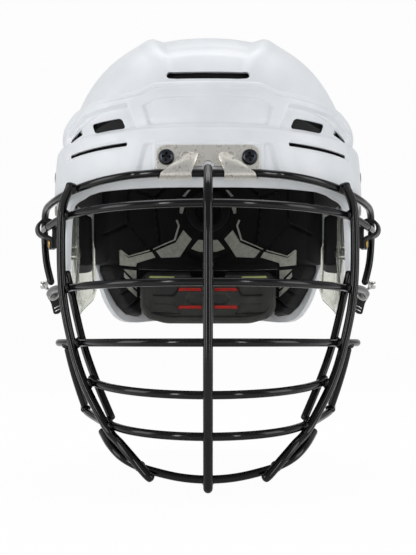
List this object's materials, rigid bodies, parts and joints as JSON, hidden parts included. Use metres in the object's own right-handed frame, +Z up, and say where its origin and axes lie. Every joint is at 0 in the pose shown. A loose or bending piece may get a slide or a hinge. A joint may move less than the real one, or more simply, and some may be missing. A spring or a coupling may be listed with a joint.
{
  "type": "bull riding face mask",
  "caption": "White two-shell riding helmet with a hinged black wire face cage, padded liner, clear ear guards and a sliding occipital pad.",
  "frame": {"origin": "on the middle plane at the height of the brow edge, half way along the shell's length, where the wearer's head is centred", "axes": "+Z up, the face looks to -Y, +X is the right side in the picture"},
  "size_m": [0.2332, 0.3101, 0.2956],
  "materials": {
    "shell_white": "smooth glossy moulded shell",
    "bracket_steel": "stainless sheet, fine speckled brushing",
    "cage_black": "gloss black powder coat on steel wire",
    "screw_black": "black plated steel",
    "nut_steel": "plain steel",
    "foam_black": "matt closed-cell foam with a fine grain",
    "guard_clear": "clear, slightly green and milky",
    "snap_brass": "worn brass",
    "clip_chrome": "nickel plate",
    "tab_black": "coated webbing",
    "pad_grey": "dark grey moulded plastic",
    "insert_red": "red foam layer"
  },
  "bodies": {
    "front": {"front_shell": "shell_white", "forehead_bracket": "bracket_steel", "bracket_screws": "screw_black", "bracket_nuts": "nut_steel", "brow_pad": "foam_black", "left_ear_guard": "guard_clear", "right_ear_guard": "guard_clear", "ear_guard_screws": "screw_black", "ear_guard_nuts": "nut_steel", "left_temple_pad": "foam_black", "right_temple_pad": "foam_black", "loop_studs": "snap_brass"},
    "rear": {"rear_shell": "shell_white", "shell_screws": "screw_black", "shell_nuts": "nut_steel", "crown_liner": "foam_black", "left_side_liner": "foam_black", "right_side_liner": "foam_black", "left_rear_liner": "foam_black", "right_rear_liner": "foam_black", "left_nape_liner": "foam_black", "right_nape_liner": "foam_black", "rear_ring_pad": "foam_black", "occipital_guide": "pad_grey", "guide_screw": "screw_black"},
    "occipital": {"occipital_pad": "pad_grey", "occipital_insert": "insert_red"},
    "cage": {"top_wire": "cage_black", "brow_wire": "cage_black", "eye_wire": "cage_black", "nose_wire": "cage_black", "mouth_wire": "cage_black", "jaw_wire": "cage_black", "chin_wire": "cage_black", "centre_bar": "cage_black", "left_outer_bar": "cage_black", "right_outer_bar": "cage_black", "left_inner_bar": "cage_black", "right_inner_bar": "cage_black", "left_jaw_brace": "cage_black", "right_jaw_brace": "cage_black"},
    "left_loop": {"left_side_loop": "tab_black", "left_loop_snap": "snap_brass"},
    "right_loop": {"right_side_loop": "tab_black", "right_loop_snap": "snap_brass"},
    "left_tab": {"left_strap_tab": "tab_black"},
    "right_tab": {"right_strap_tab": "tab_black"},
    "left_clip": {"left_snap_clip": "clip_chrome"},
    "right_clip": {"right_snap_clip": "clip_chrome"}
  },
  "joints": [
    {"name": "rear_slide", "type": "slide", "parent": "front", "child": "rear", "axis": [0, 1, 0], "range_m": [0, 0.012]},
    {"name": "occipital_slide", "type": "slide", "parent": "rear", "child": "occipital", "axis": [0, -1, 0], "range_m": [0, 0.008]},
    {"name": "cage_flip", "type": "hinge", "parent": "front", "child": "cage", "pos_m": [0, -0.1385, 0.007], "axis": [-1, 0, 0], "range_deg": [0, 80]},
    {"name": "right_loop_turn", "type": "hinge", "parent": "cage", "child": "right_loop", "pos_m": [0.1085, -0.049, -0.0158], "axis": [-0.276, -0.9612, 0], "range_deg": [0, 90]},
    {"name": "left_loop_turn", "type": "hinge", "parent": "cage", "child": "left_loop", "pos_m": [-0.1085, -0.049, -0.0158], "axis": [-0.276, 0.9612, 0], "range_deg": [0, 90]},
    {"name": "right_tab_turn", "type": "hinge", "parent": "cage", "child": "right_tab", "pos_m": [0.1055, -0.034, -0.0595], "axis": [0, -1, 0], "range_deg": [0, 90]},
    {"name": "left_tab_turn", "type": "hinge", "parent": "cage", "child": "left_tab", "pos_m": [-0.1055, -0.034, -0.0595], "axis": [0, 1, 0], "range_deg": [0, 90]},
    {"name": "right_clip_turn", "type": "hinge", "parent": "cage", "child": "right_clip", "pos_m": [0.1055, -0.034, -0.0595], "axis": [0, 1, 0], "range_deg": [0, 60]},
    {"name": "left_clip_turn", "type": "hinge", "parent": "cage", "child": "left_clip", "pos_m": [-0.1055, -0.034, -0.0595], "axis": [0, -1, 0], "range_deg": [0, 60]}
  ]
}
